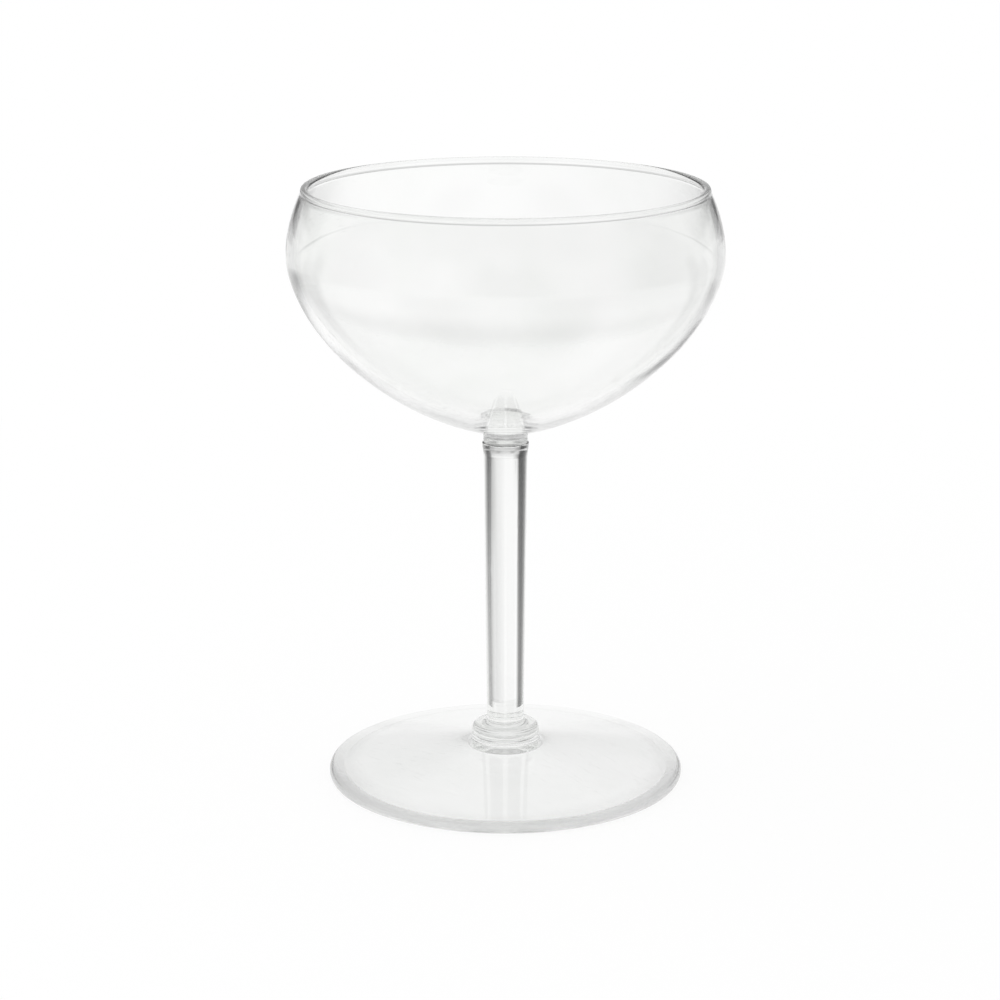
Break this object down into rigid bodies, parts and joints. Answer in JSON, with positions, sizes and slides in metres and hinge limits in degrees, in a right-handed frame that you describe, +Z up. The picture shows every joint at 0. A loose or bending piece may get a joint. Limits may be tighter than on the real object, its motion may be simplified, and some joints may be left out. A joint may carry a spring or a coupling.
{
  "type": "margarita glass",
  "caption": "Clear plastic coupe-style margarita glass: a bulged open bowl with a beaded lip on a tapering solid stem and a shallow conical foot with a ringed collar.",
  "frame": {"origin": "centre of the flat ring under the foot, on the surface that the glass stands on", "axes": "+Z up along the stem, +X and +Y are any two level directions because the glass is round"},
  "size_m": [0.111, 0.111, 0.156],
  "materials": {
    "bowl_plastic": "clear, glossy moulded plastic",
    "stem_plastic": "clear, glossy moulded plastic",
    "foot_plastic": "clear, glossy moulded plastic"
  },
  "bodies": {
    "root": {"bowl": "bowl_plastic", "stem": "stem_plastic", "foot": "foot_plastic"}
  },
  "joints": []
}
